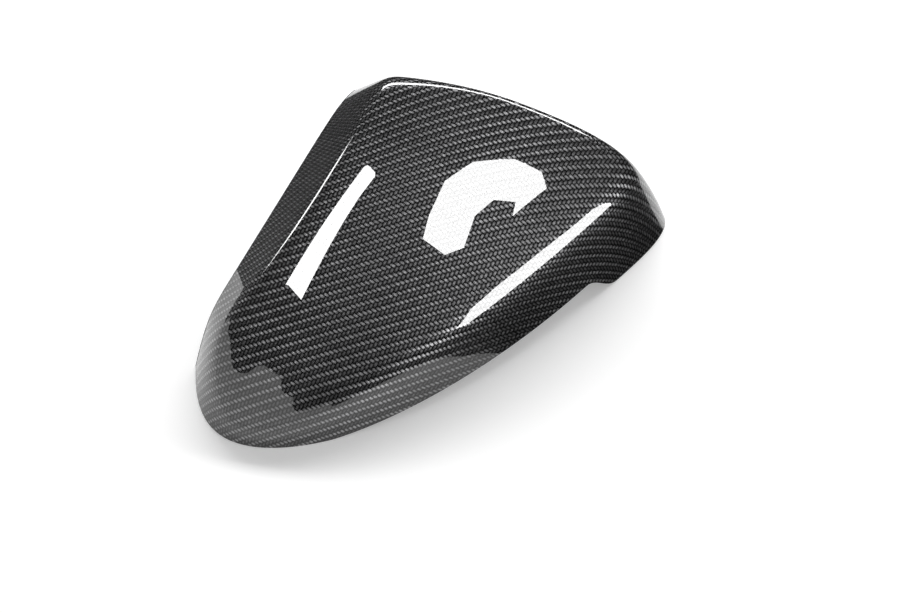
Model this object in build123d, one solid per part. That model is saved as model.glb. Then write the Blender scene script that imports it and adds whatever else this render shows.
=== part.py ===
"""A wing mirror cover: one moulded carbon fibre shell, lying on its rear rim.

The frame has X along the long wall, Y towards the open side and Z up from the rim.
The outer skin is one height over the plan: walls rising from the rim, a domed face,
and a turned-down band along the open side, all run into each other with soft ridges.
The shell is moulded past its edges, then trimmed at the rim and at the open side.
"""

import math
import os

from build123d import *

# plan: each side's distance from the plan centre, and the direction it faces
long_wall_reach = 49.1
long_wall_faces = -79.6
long_wall_radius = 446.0
end_wall_reach = 84.7
end_wall_faces = 44.4
nose_reach = 97.0
nose_faces = 136.9
open_side_reach = 66.7
open_side_faces = 120.4

# rounding in plan, as the length over which two sides run together
nose_blend = 178.0
corner_blend = 39.6

# walls: lean from upright at the rim, and the radius at which they bow inwards above it
wall_lean = 0.16
wall_bow = 312.0

# domed face: height and slopes over the plan centre, radii, and the length of its twist
face_height = 57.8
face_slope_x = 0.089
face_slope_y = 0.487
face_radius_x = 265.0
face_radius_y = 212.0
face_twist = 865.0

# band along the open side: its edge's height, the fall of the edge, and the slope inwards
band_edge_height = 49.3
band_edge_fall = 0.352
band_slope = 0.9
band_blend = 6.0

# ridge between walls and face: crisp along the long wall, soft towards the open side
ridge_blend = 15.0
ridge_soft_blend = 115.5
ridge_soft_from = 31.7
ridge_soft_to = 105.7

# moulding
wall_thickness = 2.0
trim_allowance = 3.0

# long wall's edge: lifted off the rim plane, back down in a small step near the corner
lift_height = 10.8
lift_from = -72.0
lift_to = 61.5
lift_step = 17.5

# lamp slot in the end wall, the lip behind it, and the seat that narrows the lip
slot_length = 54.0
slot_height = 9.5
slot_radius = 3.0
slot_above_rim = 5.5
slot_from_edge = 11.0
lip_width = 1.8
lip_depth = 6.0
seat_width = 1.2
seat_depth = 3.5

# how finely the skin is sampled: sections across it, and points along each
section_count = 49
point_count = 41
pole_distance = 24.0
skin_tolerance = 0.3


def outward(faces):
    angle = math.radians(faces)
    return math.cos(angle), math.sin(angle)


def inside_line(x, y, reach, faces):
    """Distance inside a straight side."""
    nx, ny = outward(faces)
    return reach - x * nx - y * ny


def soft_min(a, b, blend):
    """The lower of two values, run together where they are within the blend."""
    near = max(blend - abs(a - b), 0.0) / blend
    return min(a, b) - near**3 * blend / 6


def soft_step(value):
    value = min(max(value, 0.0), 1.0)
    return value * value * (3 - 2 * value)


def inside_rim(x, y):
    """Distance inside the rim, over the long wall, the nose and the end wall."""
    nx, ny = outward(long_wall_faces)
    centre = long_wall_reach - long_wall_radius
    long_wall = long_wall_radius - math.hypot(x - centre * nx, y - centre * ny)
    nose = inside_line(x, y, nose_reach, nose_faces)
    end_wall = inside_line(x, y, end_wall_reach, end_wall_faces)
    return soft_min(soft_min(long_wall, nose, nose_blend), end_wall, corner_blend)


def wall_height(x, y):
    inside = inside_rim(x, y)
    if inside < 0:
        return inside / wall_lean
    return (math.sqrt(wall_lean**2 + 2 * inside / wall_bow) - wall_lean) * wall_bow


def face_top(x, y):
    dome = x * x / face_radius_x / 2 + y * y / face_radius_y / 2 - x * y / face_twist
    return face_height + face_slope_x * x + face_slope_y * y - dome


def band_top(x, y):
    nx, ny = outward(open_side_faces)
    along = x * ny - y * nx
    inside = inside_line(x, y, open_side_reach, open_side_faces)
    return band_edge_height + band_edge_fall * along + band_slope * inside


def outer_height(x, y):
    top = soft_min(face_top(x, y), band_top(x, y), band_blend)
    softness = soft_step((y - ridge_soft_from) / (ridge_soft_to - ridge_soft_from))
    blend = ridge_blend + (ridge_soft_blend - ridge_blend) * softness
    return soft_min(top, wall_height(x, y), blend)


def inner_height(x, y):
    """The outer skin moved in by the wall, square to itself."""
    step = 0.01
    slope_x = (outer_height(x + step, y) - outer_height(x - step, y)) / (2 * step)
    slope_y = (outer_height(x, y + step) - outer_height(x, y - step)) / (2 * step)
    return outer_height(x, y) - wall_thickness * math.sqrt(1 + slope_x**2 + slope_y**2)


def fan_point(height, turn, reach):
    """A point of the skin, seen from a pole outside the open side."""
    nx, ny = outward(open_side_faces)
    dx, dy = outward(open_side_faces + 180 + turn)
    pole = open_side_reach + pole_distance
    x = pole * nx + reach * dx
    y = pole * ny + reach * dy
    return Vector(x, y, height(x, y))


def fan_start(turn):
    """Where a section begins, just past the open side."""
    return (pole_distance - trim_allowance) / math.cos(math.radians(turn))


def fan_end(height, turn):
    """Where a section ends, just below the rim."""
    near = fan_start(turn) + trim_allowance
    if fan_point(height, turn, near).Z < -trim_allowance:
        return near
    far = near
    while fan_point(height, turn, far).Z > -trim_allowance:
        near = far
        far += trim_allowance
    for _ in range(20):
        middle = (near + far) / 2
        if fan_point(height, turn, middle).Z > -trim_allowance:
            near = middle
        else:
            far = middle
    return far


def fan_limit(side):
    """The turn at which the open side's line drops below the rim."""
    nx, ny = outward(open_side_faces)
    along = 0.0
    x, y = open_side_reach * nx, open_side_reach * ny
    while outer_height(x, y) > -trim_allowance:
        along += side * trim_allowance / 8
        x = open_side_reach * nx + along * ny
        y = open_side_reach * ny - along * nx
    return math.degrees(math.atan2(along, pole_distance))


def even_places(line, count):
    """Places along a line of points, as index and part, at even steps of travel."""
    travel = [0.0]
    for step in line:
        travel.append(travel[-1] + step)
    places = []
    index = 0
    for i in range(count):
        goal = travel[-1] * i / (count - 1)
        while index < len(line) - 1 and travel[index + 1] < goal:
            index += 1
        places.append((index + (goal - travel[index]) / line[index]) / len(line))
    return places


def fan_turns():
    """Turns of the sections, evenly spread over the open side's edge and the rim."""
    low, high = sorted((fan_limit(-1), fan_limit(1)))
    count = 400
    turns = [low + (high - low) * i / count for i in range(count + 1)]
    starts = [fan_point(outer_height, turn, fan_start(turn)) for turn in turns]
    ends = [fan_point(outer_height, turn, fan_end(outer_height, turn)) for turn in turns]
    steps = [
        (starts[i + 1] - starts[i]).length + (ends[i + 1] - ends[i]).length for i in range(count)
    ]
    return [low + (high - low) * place for place in even_places(steps, section_count)]


def fan_section(height, turn):
    """Points of one section, evenly spaced from the open side to the rim."""
    start, end = fan_start(turn), fan_end(height, turn)
    count = 600
    line = [fan_point(height, turn, start + (end - start) * i / count) for i in range(count + 1)]
    steps = [(b - a).length for a, b in zip(line, line[1:])]
    places = even_places(steps, point_count)
    return [fan_point(height, turn, start + (end - start) * place) for place in places]


def skin(height):
    """One smooth face through the fan of sections."""
    points = [fan_section(height, turn) for turn in fan_turns()]
    return Face.make_surface_from_array_of_points(points, tol=skin_tolerance, min_deg=3, max_deg=3)


def moulding():
    """The shell as it leaves the mould, past its edges all round."""
    outer = skin(outer_height)
    inner = skin(inner_height)
    sides = []
    for edge in outer.edges():
        partner = min(inner.edges(), key=lambda other: ((other @ 0.5) - (edge @ 0.5)).length)
        sides.append(Face.make_surface_from_curves(edge, partner))
    return Solid(Shell([outer, inner, *sides]))


def trimmed(cover):
    """The moulding cut at the open side and at the rim plane."""
    nx, ny = outward(open_side_faces)
    open_side = Plane((open_side_reach * nx, open_side_reach * ny, 0), z_dir=(nx, ny, 0))
    reach = 4 * (end_wall_reach + nose_reach)
    cover &= open_side * Box(reach, reach, reach, align=(Align.CENTER, Align.CENTER, Align.MAX))
    return cover & Box(reach, reach, reach, align=(Align.CENTER, Align.CENTER, Align.MIN))


def lifted_edge():
    """What is cut away below the long wall: a slow rise, then a small step back down."""
    step_end = lift_to + lift_step
    rise = Line((lift_from, 0), (lift_to, lift_height))
    step = Spline((lift_to, lift_height), (step_end, 0), tangents=[(1, 0), (1, 0)])
    below = -trim_allowance
    under = Polyline((step_end, 0), (step_end, below), (lift_from, below), (lift_from, 0))
    return extrude(Plane.XZ * make_face([rise, step, under]), amount=2 * long_wall_reach)


def slot_plane():
    """The plane on the end wall's skin at the middle of the lamp slot."""
    nx, ny = outward(end_wall_faces)
    ox, oy = outward(open_side_faces)
    # plan corner of the end wall's line and the open side's line
    across = nx * oy - ny * ox
    corner_x = (end_wall_reach * oy - open_side_reach * ny) / across
    corner_y = (open_side_reach * nx - end_wall_reach * ox) / across
    along = slot_from_edge + slot_length / 2
    middle = slot_above_rim + slot_height / 2
    outside, inside = 0.0, middle
    for _ in range(30):
        depth = (outside + inside) / 2
        x = corner_x + along * ny - depth * nx
        y = corner_y - along * nx - depth * ny
        if outer_height(x, y) < middle:
            outside = depth
        else:
            inside = depth
    step = 0.01
    slope_x = (outer_height(x + step, y) - outer_height(x - step, y)) / (2 * step)
    slope_y = (outer_height(x, y + step) - outer_height(x, y - step)) / (2 * step)
    return Plane((x, y, middle), x_dir=(ny, -nx, 0), z_dir=(-slope_x, -slope_y, 1))


def slot_outline(margin):
    """The slot's rounded rectangle, with a margin round it."""
    return RectangleRounded(slot_length + 2 * margin, slot_height + 2 * margin, slot_radius + margin)


cover = trimmed(moulding()) - lifted_edge()
skin_plane = slot_plane()
lip = slot_outline(lip_width)
slot = slot_outline(0)
through = slot_outline(-seat_width)
cover += extrude(skin_plane.offset(-wall_thickness / 2) * lip, amount=-lip_depth)
cover -= extrude(skin_plane.offset(wall_thickness) * slot, amount=-wall_thickness - seat_depth)
cover -= extrude(skin_plane * through, amount=-2 * wall_thickness - lip_depth)

box = cover.bounding_box()
cover = Pos(-box.center().X, -box.center().Y, -box.min.Z) * cover

os.makedirs("parts", exist_ok=True)
export_step(cover, "parts/mirror_cover.step")
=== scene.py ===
import math

import bmesh
import bpy
import numpy as np
from mathutils import Matrix, Vector


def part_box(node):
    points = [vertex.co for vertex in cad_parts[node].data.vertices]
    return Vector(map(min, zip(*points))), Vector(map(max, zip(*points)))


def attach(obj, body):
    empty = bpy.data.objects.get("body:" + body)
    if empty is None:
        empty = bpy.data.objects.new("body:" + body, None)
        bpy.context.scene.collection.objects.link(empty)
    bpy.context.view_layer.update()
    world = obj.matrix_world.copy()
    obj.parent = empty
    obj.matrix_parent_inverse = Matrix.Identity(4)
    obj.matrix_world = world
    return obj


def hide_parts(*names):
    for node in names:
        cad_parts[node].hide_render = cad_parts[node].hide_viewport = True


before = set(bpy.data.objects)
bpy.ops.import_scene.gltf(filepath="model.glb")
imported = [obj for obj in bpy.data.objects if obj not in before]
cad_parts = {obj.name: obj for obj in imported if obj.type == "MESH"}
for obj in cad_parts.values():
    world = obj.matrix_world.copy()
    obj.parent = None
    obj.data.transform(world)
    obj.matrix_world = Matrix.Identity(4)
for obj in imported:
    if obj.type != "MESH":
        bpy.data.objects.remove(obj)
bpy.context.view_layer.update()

mm = 0.001

# the cover's form, in mm and degrees: a height over the plan, as in the solid
coverForm = {
    "longWallReach": 49.1, "longWallFaces": -79.6, "longWallRadius": 446.0,
    "endWallReach": 84.7, "endWallFaces": 44.4,
    "noseReach": 97.0, "noseFaces": 136.9,
    "openSideReach": 66.7, "openSideFaces": 120.4,
    "noseBlend": 178.0, "cornerBlend": 39.6,
    "wallLean": 0.16, "wallBow": 312.0,
    "faceHeight": 57.8, "faceSlopeX": 0.089, "faceSlopeY": 0.487,
    "faceRadiusX": 265.0, "faceRadiusY": 212.0, "faceTwist": 865.0,
    "bandEdgeHeight": 49.3, "bandEdgeFall": 0.352, "bandSlope": 0.9, "bandBlend": 6.0,
    "ridgeBlend": 15.0, "ridgeSoftBlend": 115.5, "ridgeSoftFrom": 31.7, "ridgeSoftTo": 105.7,
    "wall": 2.0,
    "liftHeight": 10.8, "liftFrom": -72.0, "liftTo": 61.5, "liftStep": 17.5,
    "poleDistance": 24.0,
    "edgeRound": 0.4,      # the trimmed edges are rubbed down and coated
    "rows": 300, "outerColumns": 110, "innerColumns": 60,
    "widestTurn": 80.0, "longestReach": 330.0,      # the fan of sections ends within these
    "turnSteps": 1500, "reachSteps": 1400, "lineSteps": 700, "halvings": 50,
}
coatedSide, bareSide = 0, 1      # which carbon a face wears


def outward(faces):
    angle = math.radians(faces)
    return math.cos(angle), math.sin(angle)


def insideLine(x, y, reach, faces):
    nx, ny = outward(faces)
    return reach - x * nx - y * ny


def softMin(a, b, blend):
    near = np.clip(blend - np.abs(a - b), 0.0, None) / blend
    return np.minimum(a, b) - near**3 * blend / 6


def softStep(value):
    value = np.clip(value, 0.0, 1.0)
    return value * value * (3 - 2 * value)


def outerHeight(x, y, form=coverForm):
    nx, ny = outward(form["longWallFaces"])
    centre = form["longWallReach"] - form["longWallRadius"]
    longWall = form["longWallRadius"] - np.hypot(x - centre * nx, y - centre * ny)
    nose = insideLine(x, y, form["noseReach"], form["noseFaces"])
    endWall = insideLine(x, y, form["endWallReach"], form["endWallFaces"])
    inside = softMin(softMin(longWall, nose, form["noseBlend"]), endWall, form["cornerBlend"])
    lean, bow = form["wallLean"], form["wallBow"]
    bowed = (np.sqrt(lean**2 + 2 * np.clip(inside, 0, None) / bow) - lean) * bow
    walls = np.where(inside < 0, inside / lean, bowed)
    face = form["faceHeight"] + form["faceSlopeX"] * x + form["faceSlopeY"] * y
    dome = x * x / form["faceRadiusX"] / 2 + y * y / form["faceRadiusY"] / 2 - x * y / form["faceTwist"]
    ox, oy = outward(form["openSideFaces"])
    band = form["bandEdgeHeight"] + form["bandEdgeFall"] * (x * oy - y * ox)
    band = band + form["bandSlope"] * insideLine(x, y, form["openSideReach"], form["openSideFaces"])
    top = softMin(face - dome, band, form["bandBlend"])
    soft = softStep((y - form["ridgeSoftFrom"]) / (form["ridgeSoftTo"] - form["ridgeSoftFrom"]))
    blend = form["ridgeBlend"] + (form["ridgeSoftBlend"] - form["ridgeBlend"]) * soft
    return softMin(top, walls, blend)


def slopes(height, x, y, step=0.01):
    along = (height(x + step, y) - height(x - step, y)) / (2 * step)
    across = (height(x, y + step) - height(x, y - step)) / (2 * step)
    return along, across


def innerHeight(x, y):
    along, across = slopes(outerHeight, x, y)
    return outerHeight(x, y) - coverForm["wall"] * np.sqrt(1 + along**2 + across**2)


def rimHeight(x, y, form=coverForm):
    # the long wall's edge climbs slowly, then steps back down to the rim plane
    rise = np.clip((x - form["liftFrom"]) / (form["liftTo"] - form["liftFrom"]), 0, 1)
    fall = 1 - softStep((x - form["liftTo"]) / form["liftStep"])
    return np.where(y < 0, form["liftHeight"] * rise * fall, 0.0)


def fanPoint(turn, reach):
    nx, ny = outward(coverForm["openSideFaces"])
    angle = np.radians(coverForm["openSideFaces"] + 180 + turn)
    pole = coverForm["openSideReach"] + coverForm["poleDistance"]
    return pole * nx + reach * np.cos(angle), pole * ny + reach * np.sin(angle)


def fanStart(turn):
    return (coverForm["poleDistance"] + coverForm["edgeRound"]) / np.cos(np.radians(turn))


def aboveRim(height, turn, reach, lifted):
    x, y = fanPoint(turn, reach)
    return height(x, y) - lifted * rimHeight(x, y) - coverForm["edgeRound"]


def fanLimit(height, side):
    # the turn at which the open side's edge comes down to the rim
    low, high = 0.0, side * coverForm["widestTurn"]
    for step in range(coverForm["halvings"]):
        middle = (low + high) / 2
        if aboveRim(height, np.array([middle]), fanStart(np.array([middle])), 1)[0] > 0:
            low = middle
        else:
            high = middle
    return low


def fanEnd(height, turns, lifted):
    # how far from the pole each section comes down to the rim
    steps = np.linspace(0, coverForm["longestReach"], coverForm["reachSteps"])
    reach = fanStart(turns)[:, None] + steps[None, :]
    below = aboveRim(height, turns[:, None], reach, lifted) < 0
    below[:, 0] = False
    first = np.argmax(below, axis=1)
    rows = np.arange(len(turns))
    low, high = reach[rows, np.maximum(first - 1, 0)], reach[rows, first]
    for step in range(coverForm["halvings"]):
        middle = (low + high) / 2
        over = aboveRim(height, turns, middle, lifted) > 0
        low, high = np.where(over, middle, low), np.where(over, high, middle)
    return low


def fanSpan(height, turns, lifted):
    # where each section starts and ends, the first and the last being single points
    start, end = fanStart(turns), fanEnd(height, turns, lifted)
    end[0], end[-1] = start[0], start[-1]
    return start, end


def skinLine(height, turn, reach):
    x, y = fanPoint(turn, reach)
    return np.stack([x, y, height(x, y)], 1)


def travelAlong(line):
    return np.concatenate([[0], np.cumsum(np.linalg.norm(np.diff(line, axis=0), axis=1))])


def skinGrid(height, rows, columns, lifted=1):
    # sections fan out from a pole outside the open side, evenly spread over both edges
    turns = np.linspace(fanLimit(height, -1), fanLimit(height, 1), coverForm["turnSteps"])
    travel = sum(travelAlong(skinLine(height, turns, edge)) for edge in fanSpan(height, turns, lifted))
    turns = np.interp(np.linspace(0, travel[-1], rows), travel, turns)
    start, end = fanSpan(height, turns, lifted)
    grid = np.zeros((rows, columns, 3))
    lengths = np.zeros(rows)
    part = np.linspace(0, 1, coverForm["lineSteps"])
    for row in range(rows):
        reach = start[row] + (end[row] - start[row]) * part
        run = travelAlong(skinLine(height, turns[row], reach))
        lengths[row] = run[-1]
        if run[-1] > 1e-6:      # the first and the last section are single points
            reach = np.interp(np.linspace(0, run[-1], columns), run, reach)
        else:
            reach = np.full(columns, start[row])
        grid[row] = skinLine(height, turns[row], reach)
    return grid, turns, lengths


# the cloth is laid flat on the face and follows the form from there
clothLay = {
    "rows": 90, "columns": 40, "unwrapPasses": 40,
    "rowTurn": -10.0, "faceCentre": (-20.0, 0.0), "faceReach": 25.0,
    "rowGather": 0.0014, "noseGather": 0.001,
    "wallWay": (0.56, -1.0), "wallFrom": 74.0, "wallSoft": 8.0, "wallEase": 0.35,
    "edgeStep": 0.35,      # how far the weave runs on at each step round a trimmed edge
}


def smoothPick(values, places):
    # values between the given ones, on a curve through them
    cell = np.clip(np.floor(places).astype(int), 0, len(values) - 2)
    part = (places - cell).reshape((-1,) + (1,) * (values.ndim - 1))
    line = np.concatenate([2 * values[:1] - values[1:2], values, 2 * values[-1:] - values[-2:-1]])
    a, b, c, d = line[cell], line[cell + 1], line[cell + 2], line[cell + 3]
    return b + part / 2 * (c - a + part * (2 * a - 5 * b + 4 * c - d + part * (3 * (b - c) + d - a)))


def gridQuads(ids):
    return np.stack([ids[:-1, :-1], ids[:-1, 1:], ids[1:, 1:], ids[1:, :-1]], -1).reshape(-1, 4)


def cornerPoints(mesh):
    corner = np.zeros(len(mesh.loops), dtype=np.int64)
    mesh.loops.foreach_get("vertex_index", corner)
    return corner


def layFlat(points, quads):
    mesh = bpy.data.meshes.new("clothSheet")
    mesh.from_pydata((points * mm).tolist(), [], quads.tolist())
    mesh.uv_layers.new(name="lay")
    sheet = bpy.data.objects.new("clothSheet", mesh)
    bpy.context.scene.collection.objects.link(sheet)
    bpy.context.view_layer.objects.active = sheet
    sheet.select_set(True)
    bpy.ops.object.mode_set(mode="EDIT")
    bpy.ops.mesh.select_all(action="SELECT")
    bpy.ops.uv.unwrap(method="MINIMUM_STRETCH", iterations=clothLay["unwrapPasses"], margin=0.0)
    bpy.ops.object.mode_set(mode="OBJECT")
    flat = np.zeros(len(mesh.loops) * 2)
    mesh.uv_layers["lay"].data.foreach_get("uv", flat)
    lay = np.zeros((len(points), 2))
    lay[cornerPoints(mesh)] = flat.reshape(-1, 2)
    bpy.data.objects.remove(sheet)
    bpy.data.meshes.remove(mesh)
    return lay


def drapeCloth(grid, turns, lengths):
    # a sheet down to the rim plane all round is laid flat, and the skin reads its place in it
    sheet = skinGrid(outerHeight, clothLay["rows"], clothLay["columns"], 0)
    sheetGrid, sheetTurns, sheetLengths = (values[1:-1] for values in sheet)
    n, m = sheetGrid.shape[:2]
    points = sheetGrid.reshape(-1, 3)
    quads = gridQuads(np.arange(n * m).reshape(n, m))
    lay = layFlat(points, quads)
    # size and turn: one unit is one mm, and rows of the weave run along the face
    edges = np.concatenate([quads[:, [0, 1]], quads[:, [0, 3]]])
    fromCentre = points[:, :2] - np.array(clothLay["faceCentre"])
    near = np.linalg.norm(fromCentre, axis=1) < clothLay["faceReach"]
    edges = edges[near[edges].all(1)]
    long = np.linalg.norm(points[edges[:, 0]] - points[edges[:, 1]], axis=1).sum()
    lay *= long / np.linalg.norm(lay[edges[:, 0]] - lay[edges[:, 1]], axis=1).sum()
    plan = np.column_stack([points[near][:, :2], np.ones(near.sum())])
    fit = np.linalg.lstsq(plan, lay[near], rcond=None)[0]
    turn = math.radians(clothLay["rowTurn"])
    rowWay = np.array([math.cos(turn), math.sin(turn)]) @ fit[:2]
    rowWay /= np.linalg.norm(rowWay)
    side = np.sign(np.linalg.det(fit[:2]))
    lay = np.stack([lay @ rowWay, side * (lay @ np.array([-rowWay[1], rowWay[0]]))], 1)
    lay = lay - lay[near].mean(0)
    # tows lie closer towards the open side and the nose, where the cloth is pulled
    lay[:, 0] -= clothLay["noseGather"] * np.minimum(lay[:, 0], 0)**2
    lay[:, 1] += clothLay["rowGather"] * np.maximum(lay[:, 1], 0)**2
    # and they lie wider where the cloth turns over the ridge onto the long wall
    past = lay @ np.array(clothLay["wallWay"]) - clothLay["wallFrom"]
    lay[:, 0] -= clothLay["wallEase"] * (past + np.hypot(past, clothLay["wallSoft"])) / 2
    lay = lay.reshape(n, m, 2)
    rowPlaces = np.interp(turns, sheetTurns, np.arange(n))
    rowPlaces += np.minimum(turns - sheetTurns[0], 0) / (sheetTurns[1] - sheetTurns[0])
    rowPlaces += np.maximum(turns - sheetTurns[-1], 0) / (sheetTurns[-1] - sheetTurns[-2])
    tall = smoothPick(lay, rowPlaces)
    whole = np.maximum(smoothPick(sheetLengths, rowPlaces), 1.0)
    part = np.linspace(0, 1, grid.shape[1]) * (m - 1)
    return np.stack([smoothPick(line, part * share) for line, share in zip(tall, lengths / whole)])


def edgeStrip(outerEdge, innerEdge, down, steps=3):
    # a trimmed edge with both its corners rubbed round
    size = coverForm["edgeRound"]
    way = innerEdge - outerEdge
    way = way - (way @ down)[:, None] * down
    way /= np.maximum(np.linalg.norm(way, axis=1), 1e-9)[:, None]
    level = np.linspace(0, math.pi / 2, steps + 1)[1:]
    left = [outerEdge + way * size * (1 - math.cos(a)) + down * size * math.sin(a) for a in level]
    right = [innerEdge - way * size * (1 - math.cos(a)) + down * size * math.sin(a) for a in level]
    return np.stack(left + right[::-1], 1)


def makeShell():
    outer, turns, lengths = skinGrid(outerHeight, coverForm["rows"], coverForm["outerColumns"])
    inner = skinGrid(innerHeight, coverForm["rows"], coverForm["innerColumns"])[0]
    ox, oy = outward(coverForm["openSideFaces"])
    rim = edgeStrip(outer[:, -1], inner[:, -1], np.array([0.0, 0.0, -1.0]))
    cut = edgeStrip(outer[:, 0], inner[:, 0], np.array([ox, oy, 0.0]))
    outerLay = drapeCloth(outer, turns, lengths)
    print("cloth laid over", outer.shape[0], "sections")
    points, lays, faces, kinds = [], [], [], []

    def addGrid(grid, lay):
        base = sum(len(p) for p in points)
        points.append(grid.reshape(-1, 3))
        lays.append(lay.reshape(-1, 2))
        return base + np.arange(grid.shape[0] * grid.shape[1]).reshape(grid.shape[:2])

    def addQuads(ids, kind, flip):
        quads = gridQuads(ids)
        faces.extend((quads[:, ::-1] if flip else quads).tolist())
        kinds.extend([kind] * len(quads))

    columns = np.linspace(0, outer.shape[1] - 1, inner.shape[1])
    innerLay = outerLay[:, np.round(columns).astype(int)]
    outerId = addGrid(outer, outerLay)
    innerId = addGrid(inner, innerLay)
    run = np.arange(1, rim.shape[1] + 1)[None, :, None] * np.array([0.0, clothLay["edgeStep"]])
    rimId = addGrid(rim, outerLay[:, -1:] + run)
    cutId = addGrid(cut, outerLay[:, :1] + run)
    rimAll = np.column_stack([outerId[:, -1], rimId, innerId[:, -1]])
    cutAll = np.column_stack([outerId[:, 0], cutId, innerId[:, 0]])
    addQuads(outerId, coatedSide, False)
    addQuads(innerId, bareSide, True)
    addQuads(rimAll, coatedSide, False)
    addQuads(cutAll, coatedSide, True)
    for row, flip in ((0, False), (-1, True)):
        addQuads(np.stack([cutAll[row], rimAll[row]]), coatedSide, flip)
    return np.concatenate(points), np.concatenate(lays), faces, kinds


def meshPiece(name, points, faces, lays, kinds):
    mesh = bpy.data.meshes.new(name)
    mesh.from_pydata((np.asarray(points) * mm).tolist(), [], faces)
    mesh.uv_layers.new(name="weave").data.foreach_set("uv", lays[cornerPoints(mesh)].ravel())
    mesh.polygons.foreach_set("material_index", kinds)
    samePoint, noLength = 1e-7, 1e-8      # in m
    work = bmesh.new()
    work.from_mesh(mesh)
    bmesh.ops.remove_doubles(work, verts=work.verts, dist=samePoint)
    bmesh.ops.dissolve_degenerate(work, edges=work.edges, dist=noLength)
    work.to_mesh(mesh)
    work.free()
    piece = bpy.data.objects.new(name, mesh)
    bpy.context.scene.collection.objects.link(piece)
    return piece


# lamp slot in the end wall, with a lip behind it, in mm
lampSlot = {
    "length": 54.0, "height": 9.5, "radius": 3.0, "aboveRim": 5.5, "fromEdge": 11.0,
    "lipWidth": 1.8, "lipDepth": 6.0, "seatWidth": 1.2, "seatDepth": 3.5, "chamfer": 0.45,
    "laySlant": 0.7,      # share of plan lengths in the weave on the slot's walls
}


def slotFrame():
    # the slot's middle on the end wall's skin, with its ways along, up and out
    nx, ny = outward(coverForm["endWallFaces"])
    ox, oy = outward(coverForm["openSideFaces"])
    reach, openReach = coverForm["endWallReach"], coverForm["openSideReach"]
    across = nx * oy - ny * ox
    cornerX = (reach * oy - openReach * ny) / across
    cornerY = (openReach * nx - reach * ox) / across
    along = lampSlot["fromEdge"] + lampSlot["length"] / 2
    middle = lampSlot["aboveRim"] + lampSlot["height"] / 2
    low, high = 0.0, middle
    for step in range(coverForm["halvings"]):
        depth = (low + high) / 2
        x = cornerX + along * ny - depth * nx
        y = cornerY - along * nx - depth * ny
        if outerHeight(x, y) < middle:
            low = depth
        else:
            high = depth
    slopeX, slopeY = slopes(outerHeight, x, y)
    out = Vector((-slopeX, -slopeY, 1)).normalized()
    side = Vector((ny, -nx, 0))
    side = (side - out * side.dot(out)).normalized()
    up = out.cross(side)
    return np.array([x, y, middle]), np.array(side), np.array(up), np.array(out)


def roundedOutline(length, height, radius, steps=8):
    points = []
    for quarter in range(4):
        sx = 1 if quarter in (0, 3) else -1
        sy = 1 if quarter in (0, 1) else -1
        for i in range(steps + 1):
            angle = math.pi / 2 * (quarter + i / steps)
            points.append((
                sx * (length / 2 - radius) + radius * math.cos(angle),
                sy * (height / 2 - radius) + radius * math.sin(angle),
            ))
    return points


def ringFaces(count, rings):
    # quads between rings of points, one ring after another
    faces = []
    for ring in range(rings - 1):
        for i in range(count):
            a, b = ring * count + i, ring * count + (i + 1) % count
            faces.append((a, b, b + count, a + count))
    return faces


def slotPrism(name, levels):
    # levels: depth along the wall's outward way, and growth of the slot's outline there
    origin, side, up, out = slotFrame()
    points = []
    for depth, growth in levels:
        outline = roundedOutline(
            lampSlot["length"] + 2 * growth, lampSlot["height"] + 2 * growth, lampSlot["radius"] + growth
        )
        points += [origin + side * a + up * b + out * depth for a, b in outline]
    count = len(outline)
    faces = ringFaces(count, len(levels))
    faces.append(tuple(range(count))[::-1])
    faces.append(tuple(range((len(levels) - 1) * count, len(levels) * count)))
    slant = lampSlot["laySlant"]
    lays = np.array([(x * slant, z + y * slant) for x, y, z in points])
    return meshPiece(name, points, faces, lays, [bareSide] * len(faces))


def applyBoolean(piece, tool, operation):
    step = piece.modifiers.new(operation, "BOOLEAN")
    step.operation = operation
    step.solver = "EXACT"
    step.object = tool
    graph = bpy.context.evaluated_depsgraph_get()
    shown = piece.evaluated_get(graph)
    mesh = bpy.data.meshes.new_from_object(shown, preserve_all_data_layers=True, depsgraph=graph)
    piece.modifiers.remove(step)
    old = piece.data
    piece.data = mesh
    bpy.data.meshes.remove(old)
    bpy.data.objects.remove(tool)


# which corners count as skin: how near the form in mm, and how closely their face looks its way
skinGloss = {"sharpFrom": 32, "nearForm": 0.03, "sameWay": 0.93}


def smoothSkins(piece, moved):
    # the skins take their normals from the form itself, so that reflections run clean
    mesh = piece.data
    mesh.shade_smooth()
    mesh.set_sharp_from_angle(angle=math.radians(skinGloss["sharpFrom"]))
    count = len(mesh.loops)
    normals = np.zeros(count * 3)
    mesh.corner_normals.foreach_get("vector", normals)
    normals = normals.reshape(-1, 3)
    points = np.zeros(len(mesh.vertices) * 3)
    mesh.vertices.foreach_get("co", points)
    points = points.reshape(-1, 3) / mm - moved
    faceWay = np.zeros((count, 3))
    for face in mesh.polygons:
        faceWay[face.loop_start:face.loop_start + face.loop_total] = face.normal
    x, y, z = points[cornerPoints(mesh)].T
    for height, sign in ((outerHeight, 1.0), (innerHeight, -1.0)):
        along, across = slopes(height, x, y)
        steep = np.sqrt(1 + along**2 + across**2)
        skin = np.stack([-along, -across, np.ones(count)], 1) * sign / steep[:, None]
        close = np.abs(z - height(x, y)) < skinGloss["nearForm"] * steep
        close &= (faceWay * skin).sum(1) > skinGloss["sameWay"]
        normals[close] = skin[close]
    mesh.normals_split_custom_set(normals.tolist())


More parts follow.
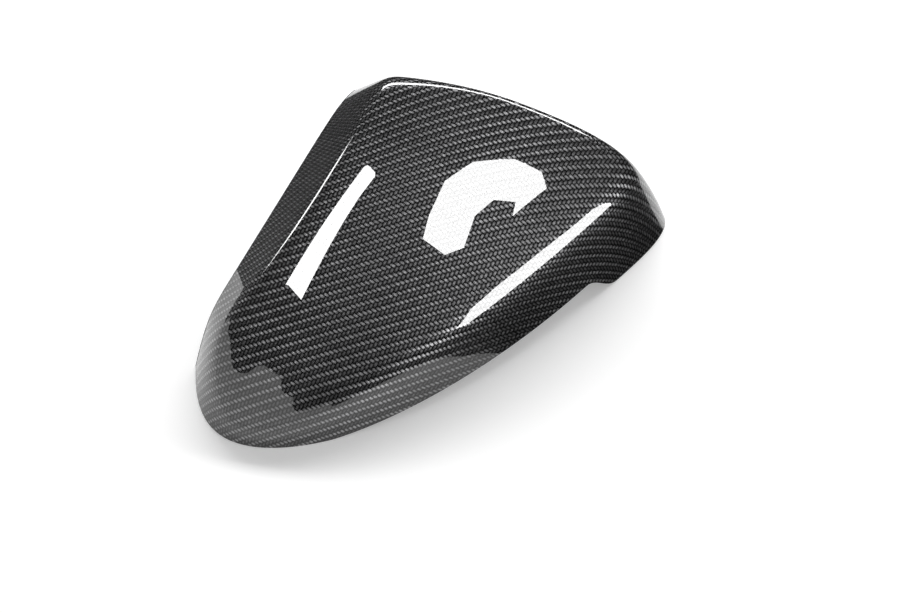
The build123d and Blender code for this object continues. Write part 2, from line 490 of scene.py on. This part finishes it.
def makeCover():
    points, lays, faces, kinds = makeShell()
    piece = meshPiece("mirrorCover", points, faces, lays, kinds)
    lip, depth, chamfer = lampSlot["lipWidth"], lampSlot["lipDepth"], lampSlot["chamfer"]
    wall = coverForm["wall"]
    end = -wall / 2 - depth
    collar = [(end, lip - chamfer), (end + chamfer, lip), (-wall / 2, lip)]
    applyBoolean(piece, slotPrism("slotLip", collar), "UNION")
    seat, floor = -lampSlot["seatWidth"], -lampSlot["seatDepth"]
    mouth = [(end - wall, seat), (floor, seat), (floor, 0.0), (-chamfer, 0.0), (2 * wall, 2 * wall + chamfer)]
    applyBoolean(piece, slotPrism("slotCutter", mouth), "DIFFERENCE")
    low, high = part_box("mirror_cover")
    points = np.zeros(len(piece.data.vertices) * 3)
    piece.data.vertices.foreach_get("co", points)
    points = points.reshape(-1, 3)
    # onto the solid: middle to middle in plan, and down on the same level
    least, most = points.min(0), points.max(0)
    moved = np.array([
        (low[0] + high[0]) / 2 - (least[0] + most[0]) / 2,
        (low[1] + high[1]) / 2 - (least[1] + most[1]) / 2,
        low[2] - least[2],
    ])
    piece.data.transform(Matrix.Translation(Vector(moved)))
    smoothSkins(piece, moved / mm)
    print("cover built,", len(piece.data.polygons), "faces, moved by", (moved / mm).round(2).tolist())
    return piece, moved


def calc(tree, operation, *values):
    # a maths node, fed with numbers or with what other nodes give
    node = tree.nodes.new("ShaderNodeMath")
    node.operation = operation
    for socket, value in zip(node.inputs, values):
        if isinstance(value, (int, float)):
            socket.default_value = value
        else:
            tree.links.new(value, socket)
    return node.outputs[0]


# two by two twill: a tow's width in mm, how it curves and darkens towards its sides and its ends,
# the darkening being dark gaps and painted shade that leaves a painted highlight on each float's crown,
# and the streaks of its fibres, counted in tows
twillCloth = {
    "towPitch": 1.47, "sideRise": 0.25, "endRise": 0.75, "sideFall": 1.3, "endFall": 1.5,
    "fibresAcross": 9.0, "fibresAlong": 0.35, "fibreDetail": 2.0, "streakLevel": 0.5, "streakSpread": 0.9,
}


def towsAt(tree, lay, pitch):
    # the place in the weave, counted in tows both ways, and whether the tow on top is a warp tow
    split = tree.nodes.new("ShaderNodeSeparateXYZ")
    tree.links.new(lay, split.inputs[0])
    u, v = split.outputs[0], split.outputs[1]
    scale = calc(tree, "DIVIDE", math.sqrt(0.5), pitch)      # tows lie at 45 degrees to the rows
    p = calc(tree, "MULTIPLY", calc(tree, "ADD", u, v), scale)
    q = calc(tree, "MULTIPLY", calc(tree, "SUBTRACT", u, v), scale)
    i, j = calc(tree, "FLOOR", p), calc(tree, "FLOOR", q)
    # the pattern repeats after four tows, and a warp tow lies over two of them
    k = calc(tree, "FLOORED_MODULO", calc(tree, "SUBTRACT", i, j), 4.0)
    return p, q, i, j, k, calc(tree, "LESS_THAN", k, 1.5)


def twillGroup():
    # how the tow on top curves, where the gaps are with a painted highlight on each float's crown, and each tow's
    # own tone
    group = bpy.data.node_groups.new("twillWeave", "ShaderNodeTree")
    group.interface.new_socket("Lay", in_out="INPUT", socket_type="NodeSocketVector")
    group.interface.new_socket("Tow Pitch", in_out="INPUT", socket_type="NodeSocketFloat")
    for name in ("Height", "Tow", "Warp", "Streak"):
        group.interface.new_socket(name, in_out="OUTPUT", socket_type="NodeSocketFloat")
    start = group.nodes.new("NodeGroupInput")
    end = group.nodes.new("NodeGroupOutput")
    p, q, i, j, k, warp = towsAt(group, start.outputs["Lay"], start.outputs["Tow Pitch"])
    fp, fq = calc(group, "FRACT", p), calc(group, "FRACT", q)

    def pick(a, b):
        return calc(group, "MULTIPLY_ADD", warp, calc(group, "SUBTRACT", a, b), b)

    # the place across the tow on top, and along the two tows that it lies over, from nought to one
    across = pick(fq, fp)
    runWarp = calc(group, "MULTIPLY", calc(group, "ADD", k, fp), 0.5)
    runWeft = calc(group, "MULTIPLY", calc(group, "ADD", calc(group, "SUBTRACT", 3.0, k), fq), 0.5)
    along = pick(runWarp, runWeft)

    def hump(value):
        centred = calc(group, "MULTIPLY_ADD", value, 2.0, -1.0)
        return calc(group, "SUBTRACT", 1.0, calc(group, "MULTIPLY", centred, centred))

    def mixHumps(how, together, atSide, atEnd):
        return calc(group, together, calc(group, how, sideHump, atSide), calc(group, how, endHump, atEnd))

    sideHump, endHump = hump(across), hump(along)
    height = mixHumps("MULTIPLY", "ADD", twillCloth["sideRise"], twillCloth["endRise"])
    # painted highlight: the tone falls off sharply to each float's sides and ends, dark gaps and painted shade round
    # a lit crown
    tow = mixHumps("POWER", "MULTIPLY", twillCloth["sideFall"], twillCloth["endFall"])
    # each tow has a tone of its own, and fibres run along it
    towName = group.nodes.new("ShaderNodeCombineXYZ")
    group.links.new(pick(j, i), towName.inputs[0])
    group.links.new(warp, towName.inputs[1])
    towTone = group.nodes.new("ShaderNodeTexWhiteNoise")
    group.links.new(towName.outputs[0], towTone.inputs["Vector"])
    fibre = group.nodes.new("ShaderNodeTexNoise")
    fibre.inputs["Scale"].default_value = 1.0
    fibre.inputs["Detail"].default_value = twillCloth["fibreDetail"]
    spreadOut = group.nodes.new("ShaderNodeCombineXYZ")
    fineWay = calc(group, "MULTIPLY", pick(q, p), twillCloth["fibresAcross"])
    longWay = calc(group, "MULTIPLY", pick(p, q), twillCloth["fibresAlong"])
    group.links.new(fineWay, spreadOut.inputs[0])
    group.links.new(longWay, spreadOut.inputs[1])
    group.links.new(warp, spreadOut.inputs[2])
    group.links.new(spreadOut.outputs[0], fibre.inputs["Vector"])
    streak = calc(group, "MULTIPLY", calc(group, "ADD", fibre.outputs[0], towTone.outputs["Value"]), 0.5)
    for name, value in (("Height", height), ("Tow", tow), ("Warp", warp), ("Streak", streak)):
        group.links.new(value, end.inputs[name])
    return group


# carbon under a clear gloss coat outside, bare and satin inside, the bump in mm; outside, warp tows are painted
# darker than weft tows, a painted shade
coatedCarbon = {
    "towTint": (0.26, 0.26, 0.265), "gapTint": (0.001, 0.001, 0.0011), "warpPaintedShade": 0.4,
    "metallic": 0.8, "roughness": 0.42, "brushed": 0.7, "bump": 0.16,
    "coat": 1.0, "coatRoughness": 0.012, "coatIor": 1.7,
}
bareCarbon = {
    "towTint": (0.05, 0.05, 0.052), "gapTint": (0.004, 0.004, 0.0045), "warpPaintedShade": 1.0,
    "metallic": 0.6, "roughness": 0.5, "brushed": 0.8, "bump": 0.1,
    "coat": 0.25, "coatRoughness": 0.3, "coatIor": 1.7,
}


def carbonMaterial(name, weave, look):
    material = bpy.data.materials.new(name)
    material.use_nodes = True
    tree = material.node_tree
    shader = tree.nodes["Principled BSDF"]
    lay = tree.nodes.new("ShaderNodeUVMap")
    lay.uv_map = "weave"
    twill = tree.nodes.new("ShaderNodeGroup")
    twill.node_tree = weave
    pitch, spread, level = (twillCloth[key] for key in ("towPitch", "streakSpread", "streakLevel"))
    twill.inputs["Tow Pitch"].default_value = pitch
    tree.links.new(lay.outputs[0], twill.inputs["Lay"])
    tint = tree.nodes.new("ShaderNodeMix")
    tint.data_type = "RGBA"      # its colour sockets come after those for numbers and vectors
    tint.inputs[6].default_value = (*look["gapTint"], 1)
    tint.inputs[7].default_value = (*look["towTint"], 1)
    streaks = calc(tree, "MULTIPLY_ADD", twill.outputs["Streak"], spread, level)
    # painted shade: warp tows are drawn darker, for light that the two ways of tow catch differently
    paintedWarpDarkening = calc(tree, "MULTIPLY_ADD", twill.outputs["Warp"], look["warpPaintedShade"] - 1.0, 1.0)
    # painted highlight and shade: the tow mask darkens the gaps and each float's sides and ends round its lit crown
    shade = calc(tree, "MULTIPLY", calc(tree, "MULTIPLY", twill.outputs["Tow"], streaks), paintedWarpDarkening)
    tree.links.new(shade, tint.inputs[0])
    tree.links.new(tint.outputs[2], shader.inputs["Base Color"])
    bump = tree.nodes.new("ShaderNodeBump")
    bump.inputs["Strength"].default_value = 1.0
    bump.inputs["Distance"].default_value = look["bump"] * mm
    tree.links.new(twill.outputs["Height"], bump.inputs["Height"])
    tree.links.new(bump.outputs[0], shader.inputs["Normal"])
    # fibres shine across their length, so the gloss turns with the tow on top
    sideways = tree.nodes.new("ShaderNodeTangent")
    sideways.direction_type = "UV_MAP"
    sideways.uv_map = "weave"
    tree.links.new(sideways.outputs[0], shader.inputs["Tangent"])
    warp = towsAt(tree, lay.outputs[0], pitch)[-1]
    quarterTurn = 0.25      # tows cross at right angles, and lie half way between the map's two ways
    turned = calc(tree, "MULTIPLY_ADD", warp, quarterTurn, quarterTurn / 2)
    tree.links.new(turned, shader.inputs["Anisotropic Rotation"])
    shader.inputs["Anisotropic"].default_value = look["brushed"]
    shader.inputs["Metallic"].default_value = look["metallic"]
    shader.inputs["Specular IOR Level"].default_value = 0.0
    shader.inputs["Roughness"].default_value = look["roughness"]
    shader.inputs["Coat Weight"].default_value = look["coat"]
    shader.inputs["Coat Roughness"].default_value = look["coatRoughness"]
    shader.inputs["Coat IOR"].default_value = look["coatIor"]
    return material


cover, moved = makeCover()
weave = twillGroup()
cover.data.materials.clear()
cover.data.materials.append(carbonMaterial("coatedCarbon", weave, coatedCarbon))
cover.data.materials.append(carbonMaterial("bareCarbon", weave, bareCarbon))
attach(cover, "root")
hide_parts("mirror_cover")
print("cover dressed")

# camera: angles in degrees, distance in m, and where the cover's own origin lies in the picture, in pixels
shot = {
    "turn": 27.55, "elevation": 52.0, "distance": 1.5, "pixelsPerMm": 2.295,
    "originAt": (428.6, 299.1), "depth": 28.0, "imageWidth": 920, "imageHeight": 613,
    "sensorWidth": 36, "nearest": 0.05, "farthest": 30,
}


def shotAxes():
    turn, rise = math.radians(shot["turn"]), math.radians(shot["elevation"])
    towards = Vector((-math.sin(turn) * math.cos(rise), -math.cos(turn) * math.cos(rise), math.sin(rise)))
    right = Vector((math.cos(turn), -math.sin(turn), 0))
    return towards, right, towards.cross(right)


def makeCamera(moved):
    towards, right, up = shotAxes()
    lens = bpy.data.cameras.new("shotCamera")
    lens.sensor_width = shot["sensorWidth"]
    lens.sensor_fit = "HORIZONTAL"
    lens.lens = shot["pixelsPerMm"] * shot["sensorWidth"] * shot["distance"] / mm / shot["imageWidth"]
    lens.clip_start, lens.clip_end = shot["nearest"], shot["farthest"]
    camera = bpy.data.objects.new("shotCamera", lens)
    bpy.context.scene.collection.objects.link(camera)
    sideways = (shot["imageWidth"] / 2 - shot["originAt"][0]) / shot["pixelsPerMm"] * mm
    upward = (shot["originAt"][1] - shot["imageHeight"] / 2) / shot["pixelsPerMm"] * mm
    aim = Vector(moved) + right * sideways + up * upward + towards * shot["depth"] * mm
    turned = Matrix((right, up, towards)).transposed().to_4x4()
    camera.matrix_world = Matrix.Translation(aim + towards * shot["distance"]) @ turned
    bpy.context.scene.camera = camera


makeCamera(moved)
print("camera set")

# soft boxes: turn from straight behind the object (right is plus), rise, size in degrees, level
softBoxes = {
    "lineLeft": {"turn": -52.5, "rise": 20, "wide": 8, "tall": 9, "level": 14},
    "backWall": {"turn": 12, "rise": 40, "wide": 72, "tall": 12, "level": 17},
}
# cards of light, a strip above, and one bent and one tapered to the right, their outlines in mm
lightCards = {
    "stripCard": {"turn": -138, "rise": 77, "level": 16, "outline": [
        (-58, 238), (-48, 252), (-28, 257), (18, 258), (31, 248), (27, 151), (32, 61), (44, -54), (70, -242),
        (-40, -244), (-59, -250), (-62, -30),
    ]},
    "bentCard": {"turn": 107.7, "rise": 62, "level": 13.5, "outline": [
        (-216, 236), (-133, 254), (9, 246), (120, 144), (208, -52), (224, -201), (186, -254),
        (26, -155), (74, -142), (35, -36), (-50, 21), (-166, 9), (-224, 88),
    ]},
    "taperedCard": {"turn": 116, "rise": 18, "level": 12, "outline": [
        (-411, -220), (-317, 424), (-148, 586), (0, 525), (115, 451), (222, 311), (330, 276),
        (420, -448), (-343, -448),
    ]},
}
# the table, the room and the dark cloth, lengths in m
studio = {
    "aimAt": (0, 0.01, 0.045), "boxDistance": 1.3, "ambient": 0.3,
    "floorReach": 4.0, "floorTint": 0.8, "floorRoughness": 0.9, "floorGlow": 0.3,
    "clothTint": 0.01, "clothLift": 0.0006, "tentRadius": 2.8, "tentTurns": 120, "tentLevels": 14,
}


def lampFrame(box, centre):
    turn, rise = math.radians(box["turn"] + shot["turn"]), math.radians(box["rise"])
    way = Vector((math.sin(turn) * math.cos(rise), math.cos(turn) * math.cos(rise), math.sin(rise)))
    across = Vector((0, 0, 1)).cross(way).normalized()
    turned = Matrix((across, way.cross(across), way)).transposed().to_4x4()
    return Matrix.Translation(centre + way * studio["boxDistance"]) @ turned


def makeSoftBox(name, box, centre):
    lamp = bpy.data.lights.new(name, "AREA")
    lamp.shape = "RECTANGLE"
    lamp.size = 2 * studio["boxDistance"] * math.tan(math.radians(box["wide"] / 2))
    lamp.size_y = 2 * studio["boxDistance"] * math.tan(math.radians(box["tall"] / 2))
    lamp.energy = box["level"] * math.pi * lamp.size * lamp.size_y
    piece = bpy.data.objects.new(name, lamp)
    bpy.context.scene.collection.objects.link(piece)
    piece.matrix_world = lampFrame(box, centre)


def studioPiece(name, points, faces, finish, tint):
    # a plain piece with no gloss of its own, and the shader of its finish
    mesh = bpy.data.meshes.new(name)
    mesh.from_pydata(points, [], faces)
    piece = bpy.data.objects.new(name, mesh)
    bpy.context.scene.collection.objects.link(piece)
    material = bpy.data.materials.new(finish)
    material.use_nodes = True
    shader = material.node_tree.nodes["Principled BSDF"]
    shader.inputs["Base Color"].default_value = (tint, tint, tint, 1)
    shader.inputs["Specular IOR Level"].default_value = 0.0
    mesh.materials.append(material)
    return piece, shader


def showInGloss(piece):
    # seen in the gloss only, and it neither lights nor shades the table
    piece.visible_camera = False
    piece.visible_diffuse = False
    piece.visible_shadow = False


def makeLightCard(name, look, centre):
    points = [(a * mm, b * mm, 0) for a, b in look["outline"]]
    card, shader = studioPiece(name, points, [tuple(range(len(points)))], name + "Light", 0)
    card.data.transform(lampFrame(look, centre))
    shader.inputs["Emission Color"].default_value = (1, 1, 1, 1)
    shader.inputs["Emission Strength"].default_value = look["level"]
    showInGloss(card)


centre = Vector(moved) + Vector(studio["aimAt"])
for name, box in softBoxes.items():
    makeSoftBox(name, box, centre)
for name, look in lightCards.items():
    makeLightCard(name, look, centre)


def glowFactor(tree):
    # one where the surface is looked at, or seen in gloss, and nought where it would light other things
    path = tree.nodes.new("ShaderNodeLightPath")
    seen = calc(tree, "MAXIMUM", path.outputs["Is Camera Ray"], path.outputs["Is Glossy Ray"])
    return calc(tree, "MAXIMUM", seen, path.outputs["Is Transmission Ray"])


def makeFloor():
    reach = studio["floorReach"]
    points = [(-reach, -reach, 0), (reach, -reach, 0), (reach, reach, 0), (-reach, reach, 0)]
    floor, shader = studioPiece("floor", points, [(0, 1, 2, 3)], "paleFloor", studio["floorTint"])
    shader.inputs["Roughness"].default_value = studio["floorRoughness"]
    shader.inputs["Emission Color"].default_value = (1, 1, 1, 1)
    tree = shader.id_data
    glow = calc(tree, "MULTIPLY", glowFactor(tree), studio["floorGlow"])
    tree.links.new(glow, shader.inputs["Emission Strength"])


# where dark cloth begins, by turn from straight behind: how far out on the table, in m,
# and how high the open, pale side of the room reaches, in degrees
clothEdge = {
    # close along the long wall, turns 71 to 149, the cloth comes to 0.05 m: a painted dark reflection, seen only in
    # gloss, standing for the dark and shaded table beside the long wall
    "table": [(-180, 4), (-60, 4), (-57, 0.2), (50, 0.2), (68, 0.18), (71, 0.05), (130, 0.05), (149, 0.076),
              (156, 0.15), (162, 1), (166, 4), (180, 4)],
    "room": [(-180, 20), (-175, 31), (-166, 52), (-153, 59), (-142, 59), (-124, 48), (-115, 50), (-76, 32), (-50, 2),
             (-46, 0), (160, 0), (164, 10), (172, 14), (180, 20)],
}


def makeTent(centre):
    # dark cloth on, round and over the table, which keeps the gloss dark between the lights, and close along the
    # long wall gives a painted dark reflection
    radius, count, levels = studio["tentRadius"], studio["tentTurns"], studio["tentLevels"]
    turns = [360 * i / count - 180 for i in range(count)]
    foot = np.interp(turns, *zip(*clothEdge["table"]))
    lowest = np.radians(np.interp(turns, *zip(*clothEdge["room"])))
    points = []
    for level in range(-2, levels + 1):      # two rings on the table, then the tent up to its top
        for turn, edge, low in zip(turns, foot, lowest):
            rise = low + (math.pi / 2 - low) * max(level, 0) / levels
            reach, height = radius * math.cos(rise), radius * math.sin(rise)
            if level < 0 and edge < reach:
                reach, height = (edge, 0.0) if level == -2 else (reach, 0.0)
            angle = math.radians(turn + shot["turn"])
            x, y = centre.x + reach * math.sin(angle), centre.y + reach * math.cos(angle)
            points.append((x, y, height + studio["clothLift"]))
    faces = ringFaces(count, levels + 3)
    tent, shader = studioPiece("darkTent", points, faces, "darkClothAndPaintedReflection", studio["clothTint"])
    shader.inputs["Roughness"].default_value = 1.0
    showInGloss(tent)
    tent.visible_transmission = False


def makeWorld():
    world = bpy.data.worlds.new("studioRoom")
    world.use_nodes = True
    tree = world.node_tree
    back = tree.nodes["Background"]
    back.inputs["Color"].default_value = (1, 1, 1, 1)
    level = calc(tree, "MULTIPLY_ADD", glowFactor(tree), 1.0 - studio["ambient"], studio["ambient"])
    tree.links.new(level, back.inputs["Strength"])
    bpy.context.scene.world = world


makeFloor()
makeTent(Vector(moved))
makeWorld()
bpy.context.scene.view_settings.view_transform = "Standard"
print("studio lit")
